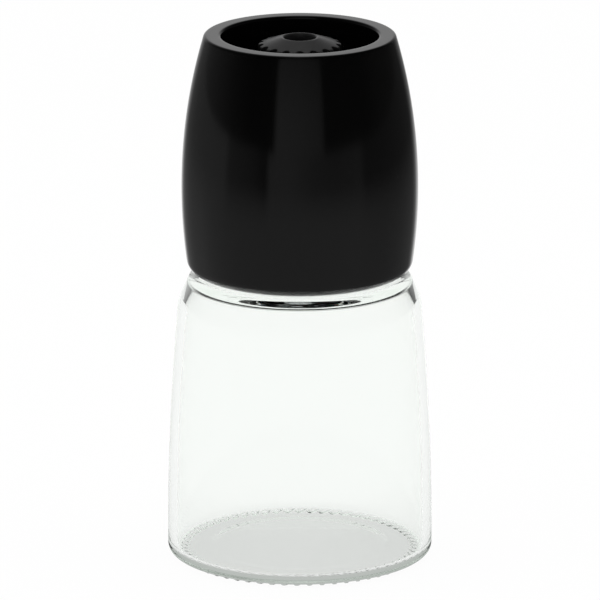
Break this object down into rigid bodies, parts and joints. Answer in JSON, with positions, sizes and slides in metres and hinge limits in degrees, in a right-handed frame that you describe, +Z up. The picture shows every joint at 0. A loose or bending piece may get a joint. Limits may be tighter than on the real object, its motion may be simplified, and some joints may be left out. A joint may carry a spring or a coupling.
{
  "type": "pepper mill",
  "caption": "Hand pepper mill: a clear glass jar with a black barrel-shaped grip screwed on top, a recess in the grip and a fluted grind-setting knob inside the recess.",
  "frame": {"origin": "middle of the knurled ring that the jar stands on, level with the knurls' flat lowest faces", "axes": "+Z up along the mill's axis, from the jar to the recess; -Y is the front, which one knob flute faces, and +X is on the right seen from the front"},
  "size_m": [0.07, 0.07, 0.1411],
  "materials": {
    "jar_glass": "clear, fire polished",
    "black_plastic": "smooth satin gloss",
    "dark_plastic": "moulded, matt",
    "burr_ceramic": "sintered, unglazed",
    "steel": "turned and stamped stainless steel",
    "brass": "turned",
    "seal_silicone": "moulded silicone, translucent white",
    "glide_acetal": "stamped acetal sheet"
  },
  "bodies": {
    "jar": {"glass_jar": "jar_glass"},
    "seal": {"jar_gasket": "seal_silicone"},
    "collar": {"neck_collar": "dark_plastic", "drive_bridge": "steel", "glide_ring": "glide_acetal", "spindle": "steel", "spindle_washer": "steel", "burr_spring": "steel", "end_washer": "steel", "end_screw": "steel"},
    "grip": {"outer_shell": "black_plastic", "grinder_housing": "dark_plastic", "retaining_ring": "dark_plastic", "housing_screw_1": "steel", "housing_screw_2": "steel", "housing_screw_3": "steel", "burr_cushion": "seal_silicone", "outer_burr": "burr_ceramic"},
    "burr": {"inner_burr": "burr_ceramic", "burr_hub": "dark_plastic", "spring_washer": "steel", "click_washer": "steel"},
    "knob": {"adjusting_knob": "black_plastic", "knob_nut": "brass"}
  },
  "joints": [
    {"name": "collar_lift", "type": "slide", "parent": "jar", "child": "seal", "axis": [0, 0, 1], "range_m": [0, 0.0054]},
    {"name": "collar_turn", "type": "hinge", "parent": "seal", "child": "collar", "pos_m": [0, 0, 0.0918], "axis": [0, 0, 1], "range_deg": [0, 540]},
    {"name": "grip_turn", "type": "hinge", "parent": "collar", "child": "grip", "pos_m": [0, 0, 0.0953], "axis": [0, 0, 1], "continuous": true},
    {"name": "burr_slide", "type": "slide", "parent": "collar", "child": "burr", "axis": [0, 0, 1], "range_m": [-0.0008, 0.0008], "deforming": ["burr_spring"]},
    {"name": "knob_turn", "type": "hinge", "parent": "burr", "child": "knob", "pos_m": [0, 0, 0.1256], "axis": [0, 0, 1], "range_deg": [-360, 360]}
  ],
  "couplings": [
    {"joint": "collar_turn", "follows": "collar_lift", "rad_per_m": 1745.3},
    {"joint": "knob_turn", "follows": "burr_slide", "rad_per_m": 7854}
  ]
}
